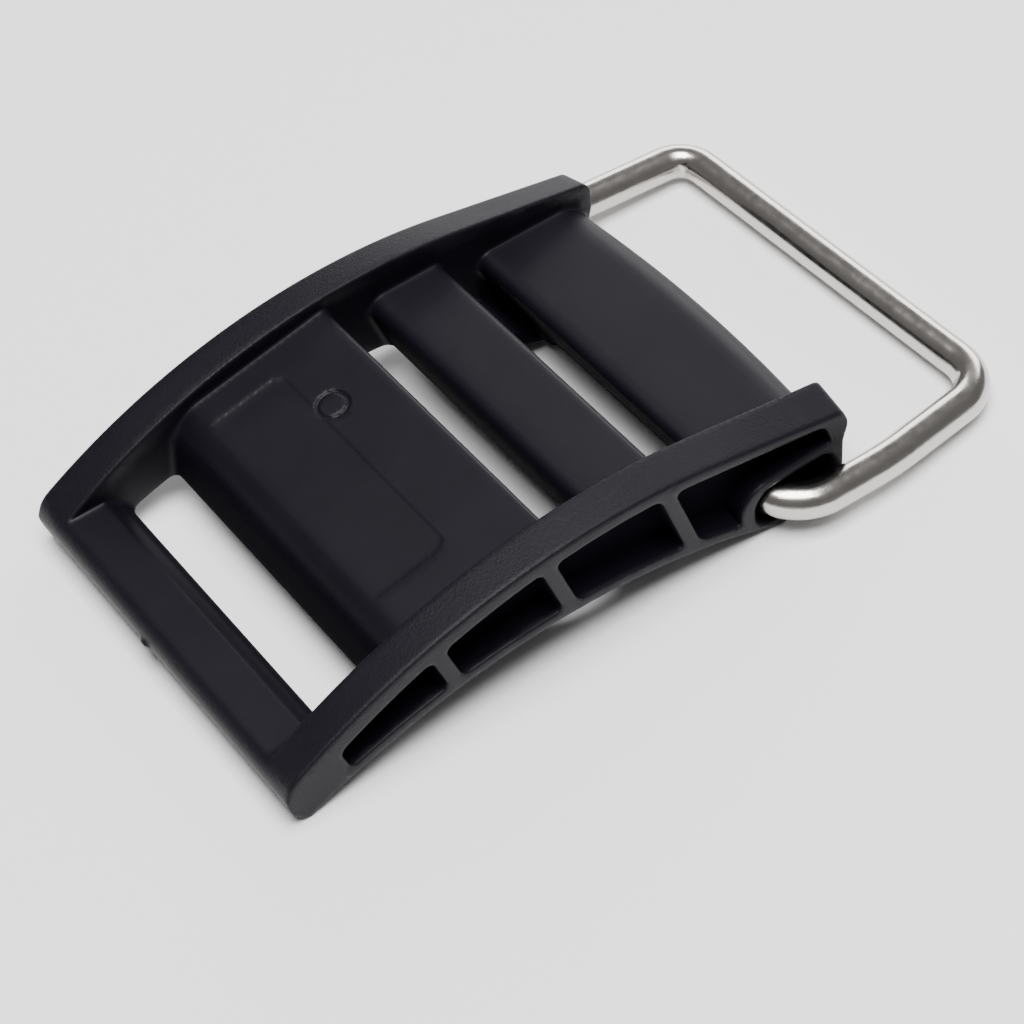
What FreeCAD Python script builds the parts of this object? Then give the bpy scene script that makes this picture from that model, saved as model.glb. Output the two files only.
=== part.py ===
"""Cam buckle for a 50 mm cylinder strap: a curved moulded lever and a hinged wire bail.

Millimetres. +X runs along the strap from the thin tail to the head that carries the bail, +Y is
across the strap, +Z is up. The buckle rests on z = 0 on its concave side, and the origin lies under
the middle of the whole length. Every outline is drawn in the XZ plane with x measured from the tail
edge, and extruded along Y.
"""
import FreeCAD
import Part
import math
import os

# Strap and body.
STRAP_GAP = 52.0            # clear width between the two side rails
RAIL_WIDTH = 5.8            # thickness of one side rail across the strap
BODY_LENGTH = 93.4          # tail edge to head end of the moulding
HALF_GAP = STRAP_GAP / 2
HALF_WIDTH = HALF_GAP + RAIL_WIDTH

# Underside: the arc that lies round the cylinder. Its two ends stand on z = 0.
UNDER_RADIUS = 97.0
UNDER_CENTRE = (42.5, -88.7)
UNDER_HALF_SPAN = math.sqrt(UNDER_RADIUS ** 2 - UNDER_CENTRE[1] ** 2)
UNDER_START = UNDER_CENTRE[0] - UNDER_HALF_SPAN
UNDER_END = UNDER_CENTRE[0] + UNDER_HALF_SPAN

# Upper edge of the rails: an arc from the tail that runs into a straight slope at TOP_ARC_END.
TOP_ARC_RADIUS = 92.3
TOP_ARC_CENTRE = (51.54, -69.85)
TOP_ARC_END = 70.0

# Thin tail edge of the rails, from the foot up to the upper edge.
TAIL_TOE = (1.3, 0.9)
TAIL_FACE_LOW = (0.0, 3.8)
TAIL_FACE_HIGH = (0.1, 6.2)
TAIL_TOP = 1.0              # x where the upper edge starts

# Blunt head end of the rails, from the upper edge down to the foot.
HEAD_SHOULDER = 91.8        # x where the upper edge ends
HEAD_SHOULDER_MIDDLE = (93.0, 15.6)
HEAD_FACE_HIGH = (BODY_LENGTH, 14.6)
HEAD_FACE_LOW = (BODY_LENGTH, 12.0)
HEAD_STEP = (92.6, 10.9)
HEAD_LOWER = (92.4, 3.8)
HEAD_TOE_MIDDLE = (91.5, 1.1)
HEAD_FOOT = 89.0            # x where the flat foot ends

# Side pockets and the ribs between them.
RIM_AT_TAIL = 3.4           # rail wall above a pocket, measured at x = 0
RIM_LOSS = 0.022            # how much thinner that wall gets for each millimetre of x
FLOOR = 1.7                 # rail wall below a pocket
POCKET_DEPTH = 4.2
POCKET_CORNER = 1.2
POCKET_LIMITS = (7.8, 90.4)             # x of the outermost pocket ends at RIB_HEIGHT
RIB_MIDDLES = (26.2, 45.3, 64.9)        # x of the ribs at RIB_HEIGHT
RIB_HEIGHT = 12.0           # height at which the slanted ribs are located
RIB = 2.4                   # thickness of a rib
RIB_SLANT = 0.32            # x that a rib gains for each millimetre it drops

# Bars between the rails. Each slot is given by its x limits along the underside.
SLOT_1 = (11.75, 19.3)
SLOT_2 = (48.0, 56.4)
SLOT_3 = (67.0, 78.0)
THUMB_TOP_START = (20.6, 15.4)
THUMB_TOP_END = (47.0, 20.7)
MIDDLE_TOP = (53.1, 66.4)   # x limits of the middle bar's flat top
MIDDLE_TOP_Z = 17.4
HEAD_TOP_START = (71.7, 14.5)
HEAD_TOP_END_Z = 14.3
NOSE_CROWN = 1.5            # how far the head panel's nose falls back from the middle to the rails
BAR_WALL = 2.7              # shell of the three wide bars

# Webs at the two ends of the third slot, between the rails and the pivot bosses.
WEB_START = 72.0            # x of a web's tail end
WEB_TOP = 6.7               # height of a web at that end; its top slopes down to the head panel
WEB_INNER = 16.4            # |y| of a web's inner end

# Wire bail and its pivot.
WIRE_RADIUS = 2.7
PIVOT = (80.6, 5.0)         # x and z of the pivot axis
BORE_CLEARANCE = 0.05
PIN_END = 16.5              # |y| of the blind end of each pin bore
PIN_TIP_GAP = 0.3           # air between a wire end and the blind end of its bore
RECESS_WEB = 1.2            # rail wall left behind the recess of the wire bend
ARM_GAP = 0.3               # air between an arm and the side of the body
KNEE_REACH = 18.0           # pivot axis to the knee where an arm turns towards the crossbar
KNEE_RADIUS = 50.0
BOSS_RADIUS = 4.65
BOSS_END = 15.0             # |y| of the closed inner end of a pivot boss
BOSS_TOP = 12.2             # height where a boss is buried in the head panel

ARM_Y = HALF_WIDTH + ARM_GAP + WIRE_RADIUS
BEND_RADIUS = ARM_Y - HALF_GAP - RECESS_WEB   # centreline radius where a pin turns into an arm

# Bends of the wire's centreline from one pin to the other, with the bail level: distance from the
# pivot axis, y and bend radius. The crossbar is bent a little out of square.
BAIL_BENDS = [
    (0.0, -ARM_Y, BEND_RADIUS),
    (KNEE_REACH, -ARM_Y, KNEE_RADIUS),
    (39.6, -32.0, 7.2),
    (37.0, 34.1, 4.9),
    (KNEE_REACH, ARM_Y, KNEE_RADIUS),
    (0.0, ARM_Y, BEND_RADIUS),
]
FURTHEST_BEND = 2           # place in BAIL_BENDS of the bend furthest from the pivot axis


def round_corner(before, here, after, radius):
    """Return the start, nearest point, end and centre of the arc that rounds the corner at here."""
    back = (before - here).normalize()
    ahead = (after - here).normalize()
    half_angle = back.getAngle(ahead) / 2
    setback = radius / math.tan(half_angle)
    centre_distance = radius / math.sin(half_angle)
    bisector = (back + ahead).normalize()
    start = here + back * setback
    nearest = here + bisector * (centre_distance - radius)
    end = here + ahead * setback
    return start, nearest, end, here + bisector * centre_distance


def bail_reach():
    """Distance from the pivot axis to the furthest point of the wire's centreline."""
    before, here, after = [
        FreeCAD.Vector(reach, y, 0) for reach, y, _ in BAIL_BENDS[FURTHEST_BEND - 1:FURTHEST_BEND + 2]
    ]
    radius = BAIL_BENDS[FURTHEST_BEND][2]
    centre = round_corner(before, here, after, radius)[3]
    return centre.x + radius


BAIL_DROP = math.asin((PIVOT[1] - WIRE_RADIUS) / bail_reach())
TOTAL_LENGTH = PIVOT[0] + bail_reach() * math.cos(BAIL_DROP) + WIRE_RADIUS
MIDDLE = TOTAL_LENGTH / 2   # x of the origin, measured from the tail edge


def point(x, z, y=0.0):
    """Return a point given by its distance from the tail edge and its height."""
    return FreeCAD.Vector(x - MIDDLE, y, z)


def under_z(x):
    """Height of the underside arc."""
    cx, cz = UNDER_CENTRE
    return cz + math.sqrt(UNDER_RADIUS ** 2 - (x - cx) ** 2)


def rail_top_z(x):
    """Height of the rails' upper edge, along its arc and then down the straight slope."""
    cx, cz = TOP_ARC_CENTRE
    if x <= TOP_ARC_END:
        return cz + math.sqrt(TOP_ARC_RADIUS ** 2 - (x - cx) ** 2)
    end_z = rail_top_z(TOP_ARC_END)
    slope = (TOP_ARC_END - cx) / (end_z - cz)
    return end_z - slope * (x - TOP_ARC_END)


def pocket_top_z(x):
    """Height of a pocket's upper side, a rim's thickness under the rails' upper edge."""
    return rail_top_z(x) - RIM_AT_TAIL + RIM_LOSS * x


def pocket_bottom_z(x):
    """Height of a pocket's lower side, above the underside arc."""
    return under_z(x) + FLOOR


def line_edge(start, end):
    """Return a straight edge between two (x, z) points."""
    return Part.LineSegment(point(*start), point(*end)).toShape()


def arc_edge(start, middle, end):
    """Return the circular edge through three (x, z) points."""
    return Part.Arc(point(*start), point(*middle), point(*end)).toShape()


def height_edge(height, x0, x1):
    """Return the arc of a height function between two x values."""
    stations = (x0, (x0 + x1) / 2, x1)
    return arc_edge(*[(x, height(x)) for x in stations])


def closed_wire(edges):
    """Join edges, in any order, into one closed wire."""
    return Part.Wire(Part.__sortEdges__(edges))


def rounded_outline(corners):
    """Return a closed wire through (x, z, radius) corners, each corner rounded by its radius."""
    edges = []
    starts = []
    ends = []
    for i, (x, z, radius) in enumerate(corners):
        before = point(*corners[i - 1][:2])
        after = point(*corners[(i + 1) % len(corners)][:2])
        start, nearest, end, _ = round_corner(before, point(x, z), after, radius)
        starts.append(start)
        ends.append(end)
        if radius > 0:
            edges.append(Part.Arc(start, nearest, end).toShape())
    for i, end in enumerate(ends):
        edges.append(Part.LineSegment(end, starts[(i + 1) % len(starts)]).toShape())
    return closed_wire(edges)


def rectangle(x0, x1, z0, z1):
    """Return the outline of an XZ rectangle with sharp corners."""
    return rounded_outline([(x0, z0, 0.0), (x1, z0, 0.0), (x1, z1, 0.0), (x0, z1, 0.0)])


def prism(wire, y0, y1):
    """Extrude a closed XZ wire from y0 to y1."""
    face = Part.Face(wire)
    face.translate(FreeCAD.Vector(0, y0, 0))
    return face.extrude(FreeCAD.Vector(0, y1 - y0, 0))


def round_cross_edges(solid, radius):
    """Fillet every straight edge of a prism that runs across the strap."""
    across = []
    for edge in solid.Edges:
        first, last = (vertex.Point for vertex in edge.Vertexes[:2])
        if abs(last.y - first.y) > 1.0:
            across.append(edge)
    return solid.makeFillet(radius, across)


def rail_blank(y0, y1):
    """Return the full side profile of the buckle as a plate between y0 and y1."""
    tail_top = (TAIL_TOP, rail_top_z(TAIL_TOP))
    shoulder = (HEAD_SHOULDER, rail_top_z(HEAD_SHOULDER))
    slope_start = (TOP_ARC_END, rail_top_z(TOP_ARC_END))
    foot = (HEAD_FOOT, 0.0)
    edges = [
        line_edge((UNDER_START, 0.0), TAIL_TOE),
        line_edge(TAIL_TOE, TAIL_FACE_LOW),
        line_edge(TAIL_FACE_LOW, TAIL_FACE_HIGH),
        line_edge(TAIL_FACE_HIGH, tail_top),
        height_edge(rail_top_z, TAIL_TOP, TOP_ARC_END),
        line_edge(slope_start, shoulder),
        arc_edge(shoulder, HEAD_SHOULDER_MIDDLE, HEAD_FACE_HIGH),
        line_edge(HEAD_FACE_HIGH, HEAD_FACE_LOW),
        line_edge(HEAD_FACE_LOW, HEAD_STEP),
        line_edge(HEAD_STEP, HEAD_LOWER),
        arc_edge(HEAD_LOWER, HEAD_TOE_MIDDLE, foot),
        line_edge(foot, (UNDER_END, 0.0)),
        height_edge(under_z, UNDER_START, UNDER_END),
    ]
    return prism(closed_wire(edges), y0, y1)


def side_pocket(x0, x1, y0, y1):
    """Return one side pocket between slanted ribs; x0 and x1 are its ends at RIB_HEIGHT."""
    overrun = 8.0           # how far the band runs past the pocket, so that only the ribs end it
    start = x0 - overrun
    stop = x1 + overrun
    band_edges = [
        height_edge(pocket_top_z, start, stop),
        line_edge((stop, pocket_top_z(stop)), (stop, pocket_bottom_z(stop))),
        height_edge(pocket_bottom_z, start, stop),
        line_edge((start, pocket_bottom_z(start)), (start, pocket_top_z(start))),
    ]
    band = prism(closed_wire(band_edges), y0, y1)
    below, above = RIB_HEIGHT - 20.0, RIB_HEIGHT + 16.0
    cell_outline = []
    for x, z in ((x0, below), (x1, below), (x1, above), (x0, above)):
        cell_outline.append((x + RIB_SLANT * (RIB_HEIGHT - z), z, 0.0))
    pocket = band.common(prism(rounded_outline(cell_outline), y0, y1))
    return round_cross_edges(pocket.Solids[0], POCKET_CORNER)


def bend_housing(y0, y1):
    """Return the raised housing round the wire bend, run out past the head and the underside."""
    left, right, bottom, top = 74.9, BODY_LENGTH + 2.6, -1.0, 10.4
    return prism(
        rounded_outline([(left, bottom, 0.8), (right, bottom, 0.8), (right, top, 2.6), (left, top, 4.6)]),
        y0,
        y1,
    )


def bend_recess(y0, y1):
    """Return the recess in the housing that lets the wire bend swing."""
    left, right, bottom, top = 77.3, 91.2, 1.6, 9.0
    return prism(
        rounded_outline([(left, bottom, 3.2), (right, bottom, 1.5), (right, top, 2.6), (left, top, 3.2)]),
        y0,
        y1,
    )


def pivot_cylinder(radius, y0, y1):
    """Return a cylinder on the pivot axis from y0 to y1."""
    start = point(*PIVOT, y=min(y0, y1))
    return Part.makeCylinder(radius, abs(y1 - y0), start, FreeCAD.Vector(0, 1, 0))


def pin_bore(side):
    """Return the bore of one wire pin, from its blind end out through the rail."""
    return pivot_cylinder(WIRE_RADIUS + BORE_CLEARANCE, side * PIN_END, side * HALF_WIDTH)


def side_rail(side):
    """Return one rail: full-height web, cored pockets outside and the housing of the wire bend."""
    inner = side * HALF_GAP
    outer = side * HALF_WIDTH
    pocket_floor = side * (HALF_WIDTH - POCKET_DEPTH)
    rail = rail_blank(inner, outer)
    housing = bend_housing(-HALF_WIDTH, HALF_WIDTH)
    starts = POCKET_LIMITS[:1] + tuple(x + RIB / 2 for x in RIB_MIDDLES)
    ends = tuple(x - RIB / 2 for x in RIB_MIDDLES) + POCKET_LIMITS[1:]
    for x0, x1 in zip(starts, ends):
        rail = rail.cut(side_pocket(x0, x1, pocket_floor, outer).cut(housing))
    recess = bend_recess(side * (HALF_GAP + RECESS_WEB), outer)
    return rail.cut(recess).cut(pin_bore(side)).removeSplitter()


def full_bar(corners):
    """Return a bar of the full gap width from its rounded section."""
    return prism(rounded_outline(corners), -HALF_GAP, HALF_GAP)


def tail_bar():
    """Return the thin tail bar, which dips towards the first slot so the strap slides in."""
    return full_bar([
        (UNDER_START, 0.0, 0.6),
        (*TAIL_TOE, 0.4),
        (*TAIL_FACE_LOW, 1.0),
        (0.2, 7.6, 1.2),
        (5.5, 8.6, 3.0),
        (9.3, 7.8, 3.0),
        (SLOT_1[0], under_z(SLOT_1[0]), 0.8),
    ])


def thumb_panel():
    """Return the wide panel the thumb presses, a shell open underneath."""
    start = SLOT_1[1]
    end = SLOT_2[0]
    shell = full_bar([
        (start, under_z(start), 0.8),
        (*THUMB_TOP_START, 4.2),
        (*THUMB_TOP_END, 1.3),
        (end, under_z(end), 0.8),
    ])
    core = full_bar([
        (start + BAR_WALL, 0.0, 0.5),
        (THUMB_TOP_START[0] + BAR_WALL, THUMB_TOP_START[1] - BAR_WALL + 0.5, 2.0),
        (THUMB_TOP_END[0] - BAR_WALL, THUMB_TOP_END[1] - BAR_WALL - 0.4, 1.5),
        (end - BAR_WALL, 0.0, 0.5),
    ])
    return shell.cut(core)


def middle_bar():
    """Return the middle bar, a narrow shell open underneath."""
    start = SLOT_2[1]
    end = SLOT_3[0]
    shell = full_bar([
        (start, under_z(start), 0.8),
        (MIDDLE_TOP[0], MIDDLE_TOP_Z, 2.4),
        (MIDDLE_TOP[1], MIDDLE_TOP_Z, 1.3),
        (end, under_z(end), 0.8),
    ])
    core = full_bar([
        (start + BAR_WALL + 2.0, 0.0, 0.5),
        (MIDDLE_TOP[0] + BAR_WALL, MIDDLE_TOP_Z - BAR_WALL, 1.5),
        (MIDDLE_TOP[1] - BAR_WALL, MIDDLE_TOP_Z - BAR_WALL, 1.0),
        (end - BAR_WALL, 0.0, 0.5),
    ])
    return shell.cut(core)


def head_section(y):
    """Return the head panel's section at y, an open shell whose nose falls back towards the rails."""
    start = SLOT_3[1]
    nose = BODY_LENGTH - NOSE_CROWN * (y / HALF_GAP) ** 2
    toe = nose - (BODY_LENGTH - HEAD_LOWER[0])
    toe_z = 2.6             # the nose stops this far above the resting plane
    roof_z = HEAD_TOP_END_Z - BAR_WALL
    section = rounded_outline([
        (start, under_z(start), 0.6),
        (*HEAD_TOP_START, 3.0),
        (nose, HEAD_TOP_END_Z, 5.6),
        (toe, toe_z, 1.0),
        (toe - BAR_WALL, toe_z, 1.0),
        (nose - BAR_WALL, roof_z, 3.0),
        (HEAD_TOP_START[0] + 2 * BAR_WALL - 0.7, roof_z, 2.0),
        (start + BAR_WALL, 2.2, 0.5),
    ])
    section.translate(FreeCAD.Vector(0, y, 0))
    return section


def head_panel():
    """Return the head panel: a shell with a crowned round nose, open underneath for the bosses."""
    stations = [HALF_GAP * k / 2 for k in range(-2, 3)]
    panel = Part.makeLoft([head_section(y) for y in stations], True)
    for side in (-1, 1):
        panel = panel.cut(pin_bore(side))
    return max(panel.Solids, key=lambda solid: solid.Volume)


def pivot_boss(side):
    """Return one blind pivot boss, hung from the head panel against the inside of a rail."""
    x, z = PIVOT
    inner = side * BOSS_END
    outer = side * HALF_GAP
    barrel = pivot_cylinder(BOSS_RADIUS, inner, outer)
    hanger = prism(rectangle(x - BOSS_RADIUS, x + BOSS_RADIUS, z, BOSS_TOP), inner, outer)
    boss = barrel.fuse(hanger).cut(head_panel()).cut(pin_bore(side))
    return max(boss.removeSplitter().Solids, key=lambda solid: solid.Volume)


def slot_web(side):
    """Return the wedge-shaped web that ties one pivot boss to its rail at the end of the third slot."""
    end = SLOT_3[1]
    wedge = rounded_outline([
        (WEB_START, under_z(WEB_START), 0.0),
        (WEB_START, WEB_TOP, 0.0),
        (end, under_z(end), 0.0),
    ])
    web = prism(wedge, side * WEB_INNER, side * HALF_GAP)
    web = web.cut(head_panel()).cut(pivot_boss(side)).cut(pin_bore(side))
    return max(web.Solids, key=lambda solid: solid.Volume)


def bail_path():
    """Return the wire's centreline from pin tip to pin tip, in the level plane of the pivot axis."""
    x, z = PIVOT
    tip_y = PIN_END + PIN_TIP_GAP
    corners = [(0.0, -tip_y, 0.0)] + BAIL_BENDS + [(0.0, tip_y, 0.0)]
    points = [point(x + reach, z, y) for reach, y, _ in corners]
    edges = []
    straight_start = points[0]
    for i in range(1, len(points) - 1):
        start, nearest, end, _ = round_corner(points[i - 1], points[i], points[i + 1], corners[i][2])
        edges.append(Part.LineSegment(straight_start, start).toShape())
        edges.append(Part.Arc(start, nearest, end).toShape())
        straight_start = end
    edges.append(Part.LineSegment(straight_start, points[-1]).toShape())
    return Part.Wire(edges)


def wire_bail():
    """Return the closed wire bail, laid so that its crossbar rests on z = 0."""
    x, z = PIVOT
    across = FreeCAD.Vector(0, 1, 0)
    tip = point(x, z, -(PIN_END + PIN_TIP_GAP))
    section = Part.Wire(Part.makeCircle(WIRE_RADIUS, tip, across))
    bail = bail_path().makePipeShell([section], True, False)
    bail.rotate(point(x, z), across, math.degrees(BAIL_DROP))
    return bail


NODES = {
    "rail_left": lambda: side_rail(1),
    "rail_right": lambda: side_rail(-1),
    "tail_bar": tail_bar,
    "thumb_panel": thumb_panel,
    "middle_bar": middle_bar,
    "head_panel": head_panel,
    "pivot_boss_left": lambda: pivot_boss(1),
    "pivot_boss_right": lambda: pivot_boss(-1),
    "slot_web_left": lambda: slot_web(1),
    "slot_web_right": lambda: slot_web(-1),
    "wire_bail": wire_bail,
}

os.makedirs("parts", exist_ok=True)
for name, build in NODES.items():
    shape = build()
    shape.exportStep(f"parts/{name}.step")
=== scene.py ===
"""Looks of the cylinder strap cam buckle: one black moulding, one stainless wire bail, a studio."""
import math
import bpy
import numpy as np
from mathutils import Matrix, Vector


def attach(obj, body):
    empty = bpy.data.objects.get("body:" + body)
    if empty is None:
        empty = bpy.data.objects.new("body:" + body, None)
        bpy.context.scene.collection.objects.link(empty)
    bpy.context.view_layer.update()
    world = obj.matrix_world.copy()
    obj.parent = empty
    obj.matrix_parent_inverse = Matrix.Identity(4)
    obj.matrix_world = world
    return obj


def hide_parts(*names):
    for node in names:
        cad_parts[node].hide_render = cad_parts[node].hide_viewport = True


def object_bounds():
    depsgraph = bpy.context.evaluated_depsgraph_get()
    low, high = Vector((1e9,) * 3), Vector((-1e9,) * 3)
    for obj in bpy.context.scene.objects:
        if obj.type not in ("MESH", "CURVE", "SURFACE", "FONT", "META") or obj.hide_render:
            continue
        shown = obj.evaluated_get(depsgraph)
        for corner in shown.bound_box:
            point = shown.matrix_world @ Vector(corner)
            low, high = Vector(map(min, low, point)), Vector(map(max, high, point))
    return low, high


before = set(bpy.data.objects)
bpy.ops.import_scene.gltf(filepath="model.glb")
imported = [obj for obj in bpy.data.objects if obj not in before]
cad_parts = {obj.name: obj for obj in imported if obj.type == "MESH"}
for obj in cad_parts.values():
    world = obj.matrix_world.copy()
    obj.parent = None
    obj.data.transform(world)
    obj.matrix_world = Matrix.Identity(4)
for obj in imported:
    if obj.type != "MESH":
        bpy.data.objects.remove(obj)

import openvdb
from mathutils import Matrix, Vector

cad_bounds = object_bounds()

MM = 0.001

# ---------------------------------------------------------------- dimensions, in millimetres
# x runs from the tail edge, as in the CAD; ORIGIN_X is where the row's origin lies on that scale.
# A section is a clockwise list of (x, z, corner radius).

# Rails.
HALF_GAP = 26.0             # clear width between the rails, halved
HALF_WIDTH = 31.9
RAIL_WIDTH = HALF_WIDTH - HALF_GAP
UNDER_CENTRE, UNDER_RADIUS = (42.5, -88.7), 97.0
TOP_ARC_CENTRE, TOP_ARC_RADIUS, TOP_ARC_END = (52.8, -70.2), 93.0, 70.0
RAIL_FALL_AT_TAIL = -0.7    # drop of the rail top over the rail's width, at x = 0
RAIL_FALL_GROWTH = 0.027    # how much that drop grows per millimetre of x
WALL_DRAFT = 0.022          # how much the gap narrows on each side per millimetre of depth
WALL_DRAFT_TOP = 18.0       # height where the draft starts

# Ends of the rails.
TAIL_FOOT = (2.9, 0.0)
TAIL_TOE = (1.3, 0.9)
TAIL_FACE_LOW = (0.0, 3.8)
TAIL_FACE_HIGH = (0.1, 6.2)
TAIL_TOP = (1.0, 7.5)
HEAD_END = 93.6             # upper part of the head end, above the step
HEAD_STEP_TOP = (HEAD_END, 11.6)
HEAD_LOWER_END = 92.9       # lower part of the head end, under the step
HEAD_STEP_FOOT = (HEAD_LOWER_END, 10.5)
SHOULDER_RADIUS = 2.0
HEAD_TOE_RADIUS = 3.0
HEAD_TOE_HEIGHT = 5.0       # above this height the toe's rounding lets the head end stand out
HEAD_TOE_FADE = 0.4         # by this much per millimetre of height

# Side pockets and the ribs between them.
RIM_AT_TAIL = 3.5           # rail wall above a pocket at x = 0
RIM_LOSS = 0.024            # how much that wall thins per millimetre of x
FLOOR = 1.7                 # rail wall under a pocket
POCKET_DEPTH = 4.2
POCKET_CORNER = 1.2
POCKET_LIMITS = (7.8, 90.4)
RIB_MIDDLES = (26.2, 45.3, 64.9)
RIB = 2.4
RIB_HEIGHT = 12.0           # height at which the ribs are located
RIB_SLANT = 0.32            # x that a rib gains per millimetre it drops

# Housing and recess of the wire bend.
HOUSING = [(74.9, -1.0, 0.8), (74.9, 10.4, 4.6), (96.0, 10.4, 2.6), (96.0, -1.0, 0.8)]
RECESS = [(77.3, 1.6, 3.2), (77.3, 9.0, 3.2), (91.2, 9.0, 2.6), (91.2, 1.6, 1.5)]
RECESS_WEB = 1.2            # rail wall left behind the recess

# Bars between the rails, and their hollow undersides.
TAIL_BAR = [
    (5.0, -2.0, 0.5),
    (-1.0, 3.0, 0.5),
    (-0.3, 7.6, 1.0),
    (5.5, 8.6, 3.0),
    (9.3, 7.8, 3.0),
    (13.4, 0.27, 0.5),
]
THUMB_TOP_START, THUMB_TOP_END = (20.6, 15.4), (47.0, 20.7)
THUMB_PANEL = [(19.0, 2.0, 0.5), (*THUMB_TOP_START, 4.2), (*THUMB_TOP_END, 1.3), (48.3, 4.4, 0.5)]
THUMB_CORE = [(22.0, -2.0, 0.5), (23.3, 13.2, 2.0), (44.3, 17.6, 1.5), (45.3, -2.0, 0.5)]
MIDDLE_BAR = [(57.6, 4.2, 0.5), (53.1, 17.4, 3.2), (66.4, 17.4, 1.3), (67.2, 3.0, 0.5)]
MIDDLE_CORE = [(61.2, -2.0, 0.5), (55.8, 14.7, 1.5), (63.7, 14.7, 1.0), (64.3, -2.0, 0.5)]
HEAD_PANEL = [(78.0, 1.57, 0.6), (71.7, 14.5, 3.0), (93.8, 14.4, 5.2), (92.9, 2.6, 1.0)]
HEAD_CORE = [(82.2, -2.0, 0.5), (76.4, 11.6, 2.0), (90.7, 11.6, 3.0), (90.1, -2.0, 0.5)]
NOSE_CROWN = 1.5            # how far the head panel's nose falls back from the middle to the rails
NOSE_BLEND = (82.0, 89.0)   # x limits over which that fall builds up
PANEL_TOPS = [              # x and z of the panels' upper faces, from the tail bar to the head panel
    (0.0, 7.8),
    (9.3, 7.8),
    (18.0, 14.0),
    THUMB_TOP_START,
    THUMB_TOP_END,
    (50.0, 20.0),
    (53.1, 17.4),
    (66.4, 17.4),
    (69.0, 16.0),
    (71.7, 14.5),
    (93.4, 14.3),
]

# Pivot bosses and the webs beside them.
PIVOT = (80.6, 5.0)
BORE_RADIUS = 2.75
BORE_END = 16.1             # |y| of the blind end of a bore
BOSS_RADIUS, BOSS_END, BOSS_TOP = 4.65, 15.0, 12.2
WEB_START = 72.0            # x of a web's tail face
WEB_TOP_START, WEB_TOP_END = (WEB_START, 6.7), (77.9, 1.6)
WEB_INNER = 16.4            # |y| of a web's inner end
WALL_OVERLAP = 0.5          # how far bosses and webs run into the rails

# Marks moulded into the faces.
LABEL_LIMITS, LABEL_CORNER, LABEL_DEPTH = (21.5, 35.8, -19.0, 21.1), 1.8, 0.12
MARK_MIDDLE, MARK_RADIUS, MARK_HALF_LINE, MARK_DEPTH = (38.0, 11.2), 2.2, 0.25, 0.3
GATE_SPOT, GATE_RADIUS, GATE_STRETCH = (0.15, 3.1, 4.6), 0.5, 2.0

# Radii of edges and fillets.
EDGE = 0.4                  # most edges of the moulding
TAIL_EDGE = 1.0             # corners of the tail profile
TAIL_TOP_EDGE = 0.6         # where the tail profile meets the rail top
STEP_FILLET = 0.8           # hollow of the step in the head end
SIDE_EDGE, SIDE_EDGE_GROWTH = 0.2, 0.4  # outer edge of a rail low down, and its growth towards the top
SIDE_EDGE_BAND = (-2.2, -0.8)           # height above the rail top over which that edge grows
BAR_FILLET, BAR_FILLET_GROWTH = 0.35, 0.9       # corner of bar and rail at a panel's top, and growth below
BAR_FILLET_BAND = (0.8, 2.5)            # depth under a panel's top over which that corner grows
POCKET_BOTTOM, POCKET_MOUTH = 0.8, 0.3
HOUSING_EDGE = 0.6
RECESS_BOTTOM, RECESS_MOUTH = 0.6, 0.3
BOSS_EDGE, BOSS_FILLET = 0.5, 0.6
WEB_EDGE, WEB_FILLET = 0.3, 0.4
BORE_MOUTH = 0.25
GATE_FILLET = 0.3
MARK_EDGE = 0.06

# Bands over which the moulding's grain and its painted shade (lowered reflection on slot walls and in
# pockets) change, each from its start to its end.
RIM_BAND = (1.4, 2.4)       # depth under the rail top
TAIL_FACE_BAND = (0.6, 2.6)             # x
PANEL_BAND = (1.2, 2.6)     # depth under a panel's top
TAIL_BAR_BAND = (2.0, 9.0)  # x
ON_RAIL_BAND = (HALF_GAP - 0.4, HALF_GAP + 0.1)         # |y|
OFF_RAIL_BAND = (HALF_GAP - 1.0, HALF_GAP - 0.4)        # |y|
SIDE_FACE_BAND = (HALF_WIDTH - 0.9, HALF_WIDTH - 0.4)   # |y|
FIRST_POCKET_BAND = (4.0, 6.0)          # x
LAST_POCKET_BAND = (91.0, 92.0)         # x
UNDERSIDE_BAND = (0.6, 1.4)             # height above the underside

# Wire bail.
WIRE_RADIUS = 2.7
PIN_TIP = 16.8              # |y| of a wire end
ARM_Y = 34.8
BAIL_BENDS = [              # distance from the pivot axis, y and bend radius, as in the CAD
    (0.0, -ARM_Y, 7.6),
    (18.0, -ARM_Y, 50.0),
    (39.6, -32.0, 7.2),
    (37.0, 34.1, 4.9),
    (18.0, ARM_Y, 50.0),
    (0.0, ARM_Y, 7.6),
]
CROSSBAR_BENDS = (2, 3)     # places in BAIL_BENDS of the two crossbar corners
PINCH, PINCH_LENGTH = 0.12, 1.5         # how much the wire thins inside a corner, and over what length
WIRE_RING = 48              # points round the wire
WIRE_STEP = 1.5             # length of one step on a straight
BEND_STEP = 2.5             # degrees of one step in a bend

ORIGIN_X = -cad_bounds[0][0] / MM
VOXEL = 0.25
MESH_LOW = (-2.0, -33.5, -1.2)
MESH_HIGH = (95.2, 33.5, 24.6)
MESH_ADAPTIVITY = 0.02      # how readily flat stretches of the mesh are simplified


# ---------------------------------------------------------------- distance-field tools
def both(a, b, radius):
    """Intersection of two distance fields, its convex edge rounded."""
    rounded = np.hypot(np.maximum(a + radius, 0), np.maximum(b + radius, 0))
    return np.minimum(np.maximum(a, b), -radius) + rounded


def either(a, b, radius):
    """Union of two distance fields, its concave edge filleted."""
    filleted = np.hypot(np.maximum(radius - a, 0), np.maximum(radius - b, 0))
    return np.maximum(np.minimum(a, b), radius) - filleted


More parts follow.
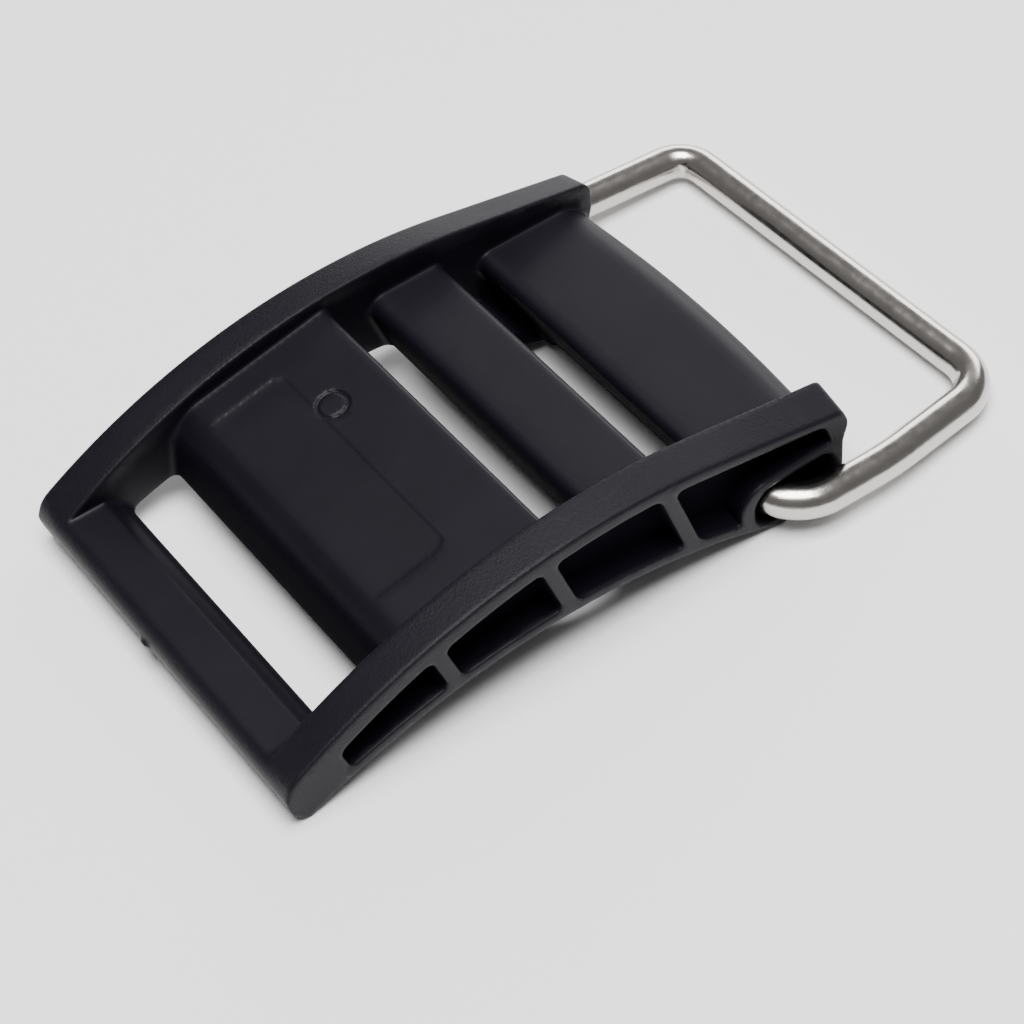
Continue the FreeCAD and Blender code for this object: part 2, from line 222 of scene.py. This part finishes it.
def smooth_step(value, start, end):
    """0 below start, 1 above end, and a smooth ramp between them."""
    t = np.clip((value - start) / (end - start), 0, 1)
    return t * t * (3 - 2 * t)


def side_of(x, z, start, end):
    """Signed distance to the line from start to end, positive on its left."""
    dx, dz = end[0] - start[0], end[1] - start[1]
    return (dx * (z - start[1]) - dz * (x - start[0])) / math.hypot(dx, dz)


def convex(x, z, corners):
    """Distance field of a convex outline of clockwise (x, z, radius) corners."""
    count = len(corners)
    sides = []
    for i in range(count):
        sides.append(side_of(x, z, corners[i], corners[(i + 1) % count]))
    field = both(sides[-1], sides[0], corners[0][2])
    for i in range(1, count):
        field = np.maximum(field, both(sides[i - 1], sides[i], corners[i][2]))
    return field


def under_field(x, z):
    """Distance below the underside arc, positive under it."""
    return UNDER_RADIUS - np.hypot(x - UNDER_CENTRE[0], z - UNDER_CENTRE[1])


def top_field(x, z):
    """Distance above the rails' inner top edge: an arc that runs into a straight slope."""
    cx, cz = TOP_ARC_CENTRE
    tilt = math.asin((TOP_ARC_END - cx) / TOP_ARC_RADIUS)
    arc = np.hypot(x - cx, z - cz) - TOP_ARC_RADIUS
    slope = (x - cx) * math.sin(tilt) + (z - cz) * math.cos(tilt) - TOP_ARC_RADIUS
    ahead = (x - cx) * math.cos(tilt) - (z - cz) * math.sin(tilt)
    return np.where(ahead > 0, slope, arc)


# ---------------------------------------------------------------- the moulding
def outline_field(x, z, top):
    """Side profile of the rails: two arcs, a thin tail edge, and a blunt head on a flat foot."""
    toe = side_of(x, z, TAIL_FOOT, TAIL_TOE)
    chin = side_of(x, z, TAIL_TOE, TAIL_FACE_LOW)
    face = side_of(x, z, TAIL_FACE_LOW, TAIL_FACE_HIGH)
    brow = side_of(x, z, TAIL_FACE_HIGH, TAIL_TOP)
    tail = both(both(face, brow, TAIL_EDGE), both(chin, toe, TAIL_EDGE), TAIL_EDGE)
    upper_end = both(x - HEAD_END, side_of(x, z, HEAD_STEP_TOP, HEAD_STEP_FOOT), EDGE)
    lower_end = x - HEAD_LOWER_END
    field = both(top, tail, TAIL_TOP_EDGE)
    field = both(field, either(upper_end, lower_end, STEP_FILLET), SHOULDER_RADIUS)
    field = np.maximum(field, both(under_field(x, z), chin, EDGE))
    toe_end = lower_end - HEAD_TOE_FADE * np.clip(z - HEAD_TOE_HEIGHT, 0, None)
    return np.maximum(field, both(-z, toe_end, HEAD_TOE_RADIUS))


def bars_field(x, y, z):
    """Cross-section of everything between the rails: four bars, three of them open underneath."""
    nose_x = x + NOSE_CROWN * (y / HALF_GAP) ** 2 * smooth_step(x, *NOSE_BLEND)
    tail = convex(x, z, TAIL_BAR)
    thumb = both(convex(x, z, THUMB_PANEL), -convex(x, z, THUMB_CORE), EDGE)
    middle = both(convex(x, z, MIDDLE_BAR), -convex(x, z, MIDDLE_CORE), EDGE)
    head = both(convex(nose_x, z, HEAD_PANEL), -convex(nose_x, z, HEAD_CORE), EDGE)
    return np.minimum(np.minimum(np.minimum(tail, thumb), middle), head)


def pocket_cells(x, z, top, under):
    """Outlines of the four side pockets, ended by slanted ribs."""
    band = both(top + RIM_AT_TAIL - RIM_LOSS * x, under + FLOOR, POCKET_CORNER)
    lean = math.hypot(1.0, RIB_SLANT)
    starts = POCKET_LIMITS[:1] + tuple(m + RIB / 2 for m in RIB_MIDDLES)
    ends = tuple(m - RIB / 2 for m in RIB_MIDDLES) + POCKET_LIMITS[1:]
    cells = None
    for start, end in zip(starts, ends):
        along = x - RIB_SLANT * (RIB_HEIGHT - z)
        cell = both(band, np.maximum(start - along, along - end) / lean, POCKET_CORNER)
        cells = cell if cells is None else np.minimum(cells, cell)
    return both(cells, -convex(x, z, HOUSING), HOUSING_EDGE)


def panel_height(x):
    """Height of the panels' upper faces at x."""
    stations, heights = zip(*PANEL_TOPS)
    return np.interp(x, stations, heights)


def panel_marks(x, y, z):
    """The shallow label recess and the ring mark in the thumb panel, as a field to cut away."""
    panel_top = side_of(x, z, THUMB_TOP_START, THUMB_TOP_END)
    x0, x1, y0, y1 = LABEL_LIMITS
    along = np.abs(x - (x0 + x1) / 2) - (x1 - x0) / 2
    across = np.abs(y - (y0 + y1) / 2) - (y1 - y0) / 2
    label = np.maximum(both(along, across, LABEL_CORNER), -(panel_top + LABEL_DEPTH))
    mark_x, mark_y = MARK_MIDDLE
    ring = np.abs(np.hypot(x - mark_x, y - mark_y) - MARK_RADIUS) - MARK_HALF_LINE
    return np.minimum(label, np.maximum(ring, -(panel_top + MARK_DEPTH)))


def gate_mark(x, y, z):
    """The small oval left on the tail face where the plastic was let in."""
    gate_x, gate_y, gate_z = GATE_SPOT
    return np.sqrt((x - gate_x) ** 2 + ((y - gate_y) / GATE_STRETCH) ** 2 + (z - gate_z) ** 2) - GATE_RADIUS


def pivot_boss(x, side, z):
    """A blind pivot boss: a barrel hung from the head panel against the inside of a rail."""
    barrel = np.hypot(x - PIVOT[0], z - PIVOT[1]) - BOSS_RADIUS
    hanger = np.maximum(np.abs(x - PIVOT[0]) - BOSS_RADIUS, np.maximum(PIVOT[1] - z, z - BOSS_TOP))
    boss = np.maximum(np.minimum(barrel, hanger), side - HALF_GAP - WALL_OVERLAP)
    return both(boss, BOSS_END - side, BOSS_EDGE)


def slot_web(x, side, z):
    """The wedge that ties a pivot boss to its rail at the end of the third slot."""
    slope = side_of(x, z, WEB_TOP_START, WEB_TOP_END)
    web = np.maximum(slope, np.maximum(WEB_START - x, under_field(x, z)))
    return both(np.maximum(web, side - HALF_GAP - WALL_OVERLAP), WEB_INNER - side, WEB_EDGE)


def strap_bars(x, y, z):
    """The bars with a fillet where they meet the drafted rail walls, small at the panels' tops."""
    depth = panel_height(x) - z
    fillet = BAR_FILLET + BAR_FILLET_GROWTH * smooth_step(depth, *BAR_FILLET_BAND)
    inner_wall = HALF_GAP - WALL_DRAFT * np.clip(WALL_DRAFT_TOP - z, 0, None)
    return either(bars_field(x, y, z), inner_wall - np.abs(y), fillet)


def moulding_field(x, y, z):
    """Distance field of the whole moulding. x, y and z are open grids."""
    side = np.abs(y)
    fall = (RAIL_FALL_AT_TAIL + RAIL_FALL_GROWTH * x) / RAIL_WIDTH
    level_top = top_field(x, z)
    top = level_top + fall * np.clip(side - HALF_GAP, 0, None)
    body = both(outline_field(x, z, top), strap_bars(x, y, z), EDGE)
    edge = SIDE_EDGE + SIDE_EDGE_GROWTH * smooth_step(top, *SIDE_EDGE_BAND)
    body = both(body, side - HALF_WIDTH, edge)
    outer_top = level_top + fall * RAIL_WIDTH
    pockets = pocket_cells(x, z, outer_top, under_field(x, z))
    body = both(body, -both(pockets, HALF_WIDTH - POCKET_DEPTH - side, POCKET_BOTTOM), POCKET_MOUTH)
    recess = both(convex(x, z, RECESS), HALF_GAP + RECESS_WEB - side, RECESS_BOTTOM)
    body = both(body, -recess, RECESS_MOUTH)
    body = either(body, pivot_boss(x, side, z), BOSS_FILLET)
    body = either(body, slot_web(x, side, z), WEB_FILLET)
    bore = np.maximum(np.hypot(x - PIVOT[0], z - PIVOT[1]) - BORE_RADIUS, BORE_END - side)
    body = both(body, -bore, BORE_MOUTH)
    body = either(body, gate_mark(x, y, z), GATE_FILLET)
    return both(body, -panel_marks(x, y, z), MARK_EDGE)


def mesh_from_field(name, field_of):
    """Mesh the zero surface of a field between MESH_LOW and MESH_HIGH; return the object, in metres."""
    counts = [int(math.ceil((b - a) / VOXEL)) for a, b in zip(MESH_LOW, MESH_HIGH)]
    x, y, z = [a + VOXEL * np.arange(n, dtype=np.float32) for a, n in zip(MESH_LOW, counts)]
    reach = 4 * VOXEL       # width of the band round the surface that the grid stores
    samples = np.clip(field_of(x[:, None, None], y[None, :, None], z[None, None, :]), -reach, reach)
    grid = openvdb.FloatGrid(reach)
    grid.copyFromArray(np.ascontiguousarray(samples, dtype=np.float32))
    points, triangles, quads = grid.convertToPolygons(0.0, MESH_ADAPTIVITY)
    start = np.array(MESH_LOW) - np.array([ORIGIN_X, 0, 0])
    points = (points * VOXEL + start) * MM
    faces = [face[::-1] for face in triangles.tolist()] + [face[::-1] for face in quads.tolist()]
    mesh = bpy.data.meshes.new(name)
    mesh.from_pydata(points.tolist(), [], faces)
    mesh.shade_smooth()
    piece = bpy.data.objects.new(name, mesh)
    bpy.context.scene.collection.objects.link(piece)
    return piece


# ---------------------------------------------------------------- materials
def new_material(name):
    """Return a node material with its shader, and a short way to add linked nodes."""
    material = bpy.data.materials.new(name)
    material.use_nodes = True
    nodes = material.node_tree.nodes
    links = material.node_tree.links
    shader = nodes["Principled BSDF"]

    def add(kind, inputs=None, **settings):
        node = nodes.new(kind)
        for key, value in settings.items():
            setattr(node, key, value)
        for key, value in (inputs or {}).items():
            if isinstance(value, bpy.types.NodeSocket):
                links.new(value, node.inputs[key])
            else:
                node.inputs[key].default_value = value
        return node

    return material, shader, add, links


def plastic_material():
    """Black glass-filled nylon: spark-grained rail tops, nearly smooth panels, and slot walls and pockets
    made rougher and given painted shade.
    """
    material, shader, add, links = new_material("black_moulded_plastic")
    place = add("ShaderNodeTexCoord").outputs["Object"]
    grain = add("ShaderNodeAttribute", attribute_name="grain").outputs["Fac"]
    # marks slot walls and pocket insides: rougher there, and given painted shade by a lowered reflection
    dull_and_painted_shade = add("ShaderNodeAttribute", attribute_name="dull_and_painted_shade").outputs["Fac"]
    fine = add("ShaderNodeTexNoise", {"Vector": place, "Scale": 3400.0, "Detail": 3.0, "Roughness": 0.6})
    broad = add("ShaderNodeTexNoise", {"Vector": place, "Scale": 90.0, "Detail": 3.0})
    strength = add("ShaderNodeMapRange", {"Value": grain, "To Min": 0.08, "To Max": 0.55})
    bump = add("ShaderNodeBump", {
        "Height": fine.outputs["Fac"],
        "Strength": strength.outputs["Result"],
        "Distance": 0.00016,
    })
    rough = add("ShaderNodeMapRange", {"Value": broad.outputs["Fac"], "To Min": 0.4, "To Max": 0.5})
    tint = add("ShaderNodeMix", {"Factor": broad.outputs["Fac"]}, data_type="RGBA")
    tint.inputs["A"].default_value = (0.0032, 0.0027, 0.0052, 1)
    tint.inputs["B"].default_value = (0.0050, 0.0043, 0.0080, 1)
    links.new(tint.outputs["Result"], shader.inputs["Base Color"])
    duller = add("ShaderNodeMapRange", {"Value": dull_and_painted_shade, "To Min": 0.0, "To Max": 0.4})
    total = add(
        "ShaderNodeMath",
        {0: rough.outputs["Result"], 1: duller.outputs["Result"]},
        operation="ADD",
    )
    # painted shade: the reflection of slot walls and pocket insides is turned down from 0.16 to 0.03 so
    # that they look dark
    painted_shade_gloss = add("ShaderNodeMapRange", {"Value": dull_and_painted_shade, "To Min": 0.16, "To Max": 0.03})
    links.new(total.outputs["Value"], shader.inputs["Roughness"])
    links.new(painted_shade_gloss.outputs["Result"], shader.inputs["Specular IOR Level"])
    links.new(bump.outputs["Normal"], shader.inputs["Normal"])
    return material


def steel_material():
    """Drawn stainless wire."""
    material, shader, add, links = new_material("stainless_wire")
    along = add("ShaderNodeUVMap", uv_map="wire").outputs["UV"]
    stretch = add("ShaderNodeMapping", {"Vector": along, "Scale": (120.0, 3500.0, 1.0)})
    streaks = add("ShaderNodeTexNoise", {"Vector": stretch.outputs["Vector"], "Scale": 1.0, "Detail": 3.0})
    place = add("ShaderNodeTexCoord").outputs["Object"]
    mottle = add("ShaderNodeTexNoise", {"Vector": place, "Scale": 700.0, "Detail": 4.0, "Roughness": 0.6})
    rough = add("ShaderNodeMapRange", {"Value": mottle.outputs["Fac"], "To Min": 0.12, "To Max": 0.3})
    bump = add("ShaderNodeBump", {"Height": streaks.outputs["Fac"], "Strength": 0.12, "Distance": 0.0001})
    second = add("ShaderNodeBump", {
        "Height": mottle.outputs["Fac"],
        "Strength": 0.2,
        "Distance": 0.0001,
        "Normal": bump.outputs["Normal"],
    })
    links.new(rough.outputs["Result"], shader.inputs["Roughness"])
    links.new(second.outputs["Normal"], shader.inputs["Normal"])
    shader.inputs["Base Color"].default_value = (0.56, 0.53, 0.5, 1)
    shader.inputs["Metallic"].default_value = 1.0
    return material


# ---------------------------------------------------------------- the bail
def bend_points(before, here, after, radius):
    """Start of the arc that rounds the corner at here, and the further points of that arc."""
    back = before - here
    ahead = after - here
    back /= np.linalg.norm(back)
    ahead /= np.linalg.norm(ahead)
    half_angle = math.acos(np.clip(back @ ahead, -1, 1)) / 2
    start = here + back * radius / math.tan(half_angle)
    bisector = (back + ahead) / np.linalg.norm(back + ahead)
    centre = here + bisector * radius / math.sin(half_angle)
    turn = math.pi - 2 * half_angle
    left = back[0] * ahead[1] - back[1] * ahead[0] < 0
    steps = max(6, int(math.degrees(turn) / BEND_STEP))
    spoke = start - centre
    arc = []
    for k in range(1, steps + 1):
        angle = turn * k / steps * (1 if left else -1)
        arc.append(centre + np.array([
            spoke[0] * math.cos(angle) - spoke[1] * math.sin(angle),
            spoke[0] * math.sin(angle) + spoke[1] * math.cos(angle),
        ]))
    return start, arc


def wire_path():
    """Centreline points of the level bail from pin tip to pin tip.

    Also returns the places in that list where the two crossbar corners are halfway round.
    """
    corners = [(0.0, -PIN_TIP, 0.0)] + BAIL_BENDS + [(0.0, PIN_TIP, 0.0)]
    points = [np.array([PIVOT[0] + reach, y]) for reach, y, _ in corners]
    path = [points[0]]
    middles = []
    for i in range(1, len(points) - 1):
        start, arc = bend_points(points[i - 1], points[i], points[i + 1], corners[i][2])
        straight = start - path[-1]
        steps = max(2, int(np.linalg.norm(straight) / WIRE_STEP))
        path += [path[-1] + straight * k / steps for k in range(1, steps + 1)]
        middles.append(len(path) - 1 + len(arc) // 2)
        path += arc
    straight = points[-1] - path[-1]
    steps = 8
    path += [path[-1] + straight * k / steps for k in range(1, steps + 1)]
    return np.array(path), [middles[i] for i in CROSSBAR_BENDS]


def wire_skin(path, run, pinched):
    """Points of the wire's skin, ring by ring, thinned on the inside of the pinched places."""
    ahead = np.gradient(path, axis=0)
    ahead /= np.linalg.norm(ahead, axis=1)[:, None]
    normal = np.stack([-ahead[:, 1], ahead[:, 0]], axis=1)
    skin = []
    for here, centre, inner in zip(run, path, normal):
        pinch = sum(math.exp(-((here - run[i]) / PINCH_LENGTH) ** 2) for i in pinched)
        for k in range(WIRE_RING):
            angle = 2 * math.pi * k / WIRE_RING
            inward = max(0.0, math.cos(angle)) ** 3
            radius = WIRE_RADIUS * (1 - PINCH * pinch * inward)
            offset = radius * math.cos(angle)
            skin.append((
                centre[0] + inner[0] * offset - ORIGIN_X,
                centre[1] + inner[1] * offset,
                PIVOT[1] + radius * math.sin(angle),
            ))
    return np.array(skin) * MM


def wire_faces(run):
    """Faces of the wire's skin and its two flat ends, with UVs in metres along and around the wire."""
    around = 2 * math.pi * WIRE_RADIUS / WIRE_RING * MM
    rings = len(run)
    faces = []
    uvs = []
    for i in range(rings - 1):
        for k in range(WIRE_RING):
            n = (k + 1) % WIRE_RING
            faces.append((
                i * WIRE_RING + k,
                i * WIRE_RING + n,
                (i + 1) * WIRE_RING + n,
                (i + 1) * WIRE_RING + k,
            ))
            uvs += [
                (run[i] * MM, k * around),
                (run[i] * MM, (k + 1) * around),
                (run[i + 1] * MM, (k + 1) * around),
                (run[i + 1] * MM, k * around),
            ]
    faces.append(tuple(range(WIRE_RING))[::-1])
    faces.append(tuple(range((rings - 1) * WIRE_RING, rings * WIRE_RING)))
    uvs += [(0, 0)] * (2 * WIRE_RING)
    return faces, uvs


def wire_bail(material):
    """Round wire swept along its path, turned down so that the crossbar rests on the floor."""
    path, pinched = wire_path()
    run = np.concatenate([[0], np.cumsum(np.linalg.norm(np.diff(path, axis=0), axis=1))])
    faces, uvs = wire_faces(run)
    mesh = bpy.data.meshes.new("wire_bail_drawn")
    mesh.from_pydata(wire_skin(path, run, pinched).tolist(), [], faces)
    layer = mesh.uv_layers.new(name="wire")
    layer.data.foreach_set("uv", np.array(uvs, dtype=np.float32).ravel())
    mesh.shade_smooth()
    pivot = Vector(((PIVOT[0] - ORIGIN_X) * MM, 0, PIVOT[1] * MM))
    reach = path[:, 0].max() - PIVOT[0]
    drop = math.asin((PIVOT[1] - WIRE_RADIUS) / reach)
    turn = Matrix.Translation(pivot) @ Matrix.Rotation(drop, 4, "Y") @ Matrix.Translation(-pivot)
    mesh.transform(turn)
    mesh.materials.append(material)
    piece = bpy.data.objects.new("wire_bail_drawn", mesh)
    bpy.context.scene.collection.objects.link(piece)
    return piece


# ---------------------------------------------------------------- build the pieces
def add_values(piece, name, values):
    """Store one number per vertex under a name that the materials read."""
    attribute = piece.data.attributes.new(name, "FLOAT", "POINT")
    attribute.data.foreach_set("value", values.astype(np.float32))


def mark_surfaces(moulding):
    """Mark where the moulding is grained, and where it is rougher with painted shade (a lowered
    reflection): slot walls and the pockets' insides.
    """
    coordinates = np.empty(len(moulding.data.vertices) * 3, dtype=np.float32)
    moulding.data.vertices.foreach_get("co", coordinates)
    along, across, height = (coordinates.reshape(-1, 3) / MM).T
    along = along + ORIGIN_X
    side = np.abs(across)
    on_rail = smooth_step(side, *ON_RAIL_BAND)
    below_rim = smooth_step(-top_field(along, height), *RIM_BAND)
    rail_top = on_rail * (1 - below_rim)
    tail_face = 1 - smooth_step(along, *TAIL_FACE_BAND)
    add_values(moulding, "grain", np.maximum(rail_top, tail_face))
    below_panel = smooth_step(panel_height(along) - height, *PANEL_BAND)
    off_tail = smooth_step(along, *TAIL_BAR_BAND)
    slot_wall = below_panel * off_tail * (1 - smooth_step(side, *OFF_RAIL_BAND))
    off_side_face = 1 - smooth_step(side, *SIDE_FACE_BAND)
    between_ends = smooth_step(along, *FIRST_POCKET_BAND) * (1 - smooth_step(along, *LAST_POCKET_BAND))
    above_underside = smooth_step(-under_field(along, height), *UNDERSIDE_BAND)
    in_pocket = on_rail * off_side_face * between_ends * above_underside * below_rim
    # painted shade on slot walls and in pockets: rougher, and their reflection turned down
    add_values(moulding, "dull_and_painted_shade", np.maximum(slot_wall, in_pocket))


moulding = mesh_from_field("lever_moulding", moulding_field)
moulding.data.materials.append(plastic_material())
mark_surfaces(moulding)
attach(moulding, "buckle_body")
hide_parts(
    "rail_left", "rail_right", "tail_bar", "thumb_panel", "middle_bar", "head_panel",
    "pivot_boss_left", "pivot_boss_right", "slot_web_left", "slot_web_right",
)

bail = wire_bail(steel_material())
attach(bail, "bail")
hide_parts("wire_bail")


# ---------------------------------------------------------------- studio
CAMERA_LENS, CAMERA_SENSOR = 102.4, 36.0            # millimetres
CAMERA_SHIFT = (0.0058, 0.0047)
CAMERA_PLACE = (-0.08995, -0.2358, 0.3059)          # metres from the tail edge, across and up
CAMERA_RIGHT = (0.8049, -0.5897, -0.0659)           # direction to the right of the picture
CAMERA_DOWN = (-0.4789, -0.5800, -0.6590)           # direction to the foot of the picture


def floor():
    """A plain pale floor, just under the buckle."""
    reach = 3.0
    corners = [(-reach, -reach, 0), (reach, -reach, 0), (reach, reach, 0), (-reach, reach, 0)]
    mesh = bpy.data.meshes.new("floor")
    mesh.from_pydata(corners, [], [(0, 1, 2, 3)])
    piece = bpy.data.objects.new("floor", mesh)
    piece.location.z = -0.2 * MM
    bpy.context.scene.collection.objects.link(piece)
    material, shader, _, _ = new_material("pale_floor")
    shader.inputs["Base Color"].default_value = (0.9, 0.9, 0.9, 1)
    shader.inputs["Roughness"].default_value = 0.9
    shader.inputs["Specular IOR Level"].default_value = 0.0
    mesh.materials.append(material)


def soft_light(name, location, size, watts):
    """A rectangular softbox at location, aimed at the origin under the middle of the buckle."""
    light = bpy.data.lights.new(name, "AREA")
    light.shape = "RECTANGLE"
    light.size, light.size_y = size
    light.energy = watts
    holder = bpy.data.objects.new(name, light)
    holder.location = location
    holder.rotation_euler = (-Vector(location)).to_track_quat("-Z", "Y").to_euler()
    bpy.context.scene.collection.objects.link(holder)


def camera():
    """The camera, at the viewing angle of the product shot."""
    data = bpy.data.cameras.new("camera")
    data.lens = CAMERA_LENS
    data.sensor_width = CAMERA_SENSOR
    data.shift_x, data.shift_y = CAMERA_SHIFT
    data.clip_start = 0.01
    ahead = Vector(CAMERA_RIGHT).cross(Vector(CAMERA_DOWN))
    right = Vector(CAMERA_DOWN).cross(ahead)
    axes = Matrix((right.normalized(), -Vector(CAMERA_DOWN).normalized(), -ahead.normalized()))
    holder = bpy.data.objects.new("camera", data)
    from_tail, across, height = CAMERA_PLACE
    place = Matrix.Translation((from_tail - ORIGIN_X * MM, across, height))
    holder.matrix_world = place @ axes.transposed().to_4x4()
    bpy.context.scene.collection.objects.link(holder)
    bpy.context.scene.camera = holder


def even_sky(strength):
    """A white surround of even brightness."""
    world = bpy.data.worlds.new("studio")
    world.use_nodes = True
    background = world.node_tree.nodes["Background"]
    background.inputs["Color"].default_value = (1, 1, 1, 1)
    background.inputs["Strength"].default_value = strength
    bpy.context.scene.world = world


floor()
soft_light("overhead", (-0.05, -0.12, 0.9), (0.6, 0.6), 20)
soft_light("back", (0.75, 0.6, 0.35), (0.9, 0.45), 7)
even_sky(0.18)
camera()
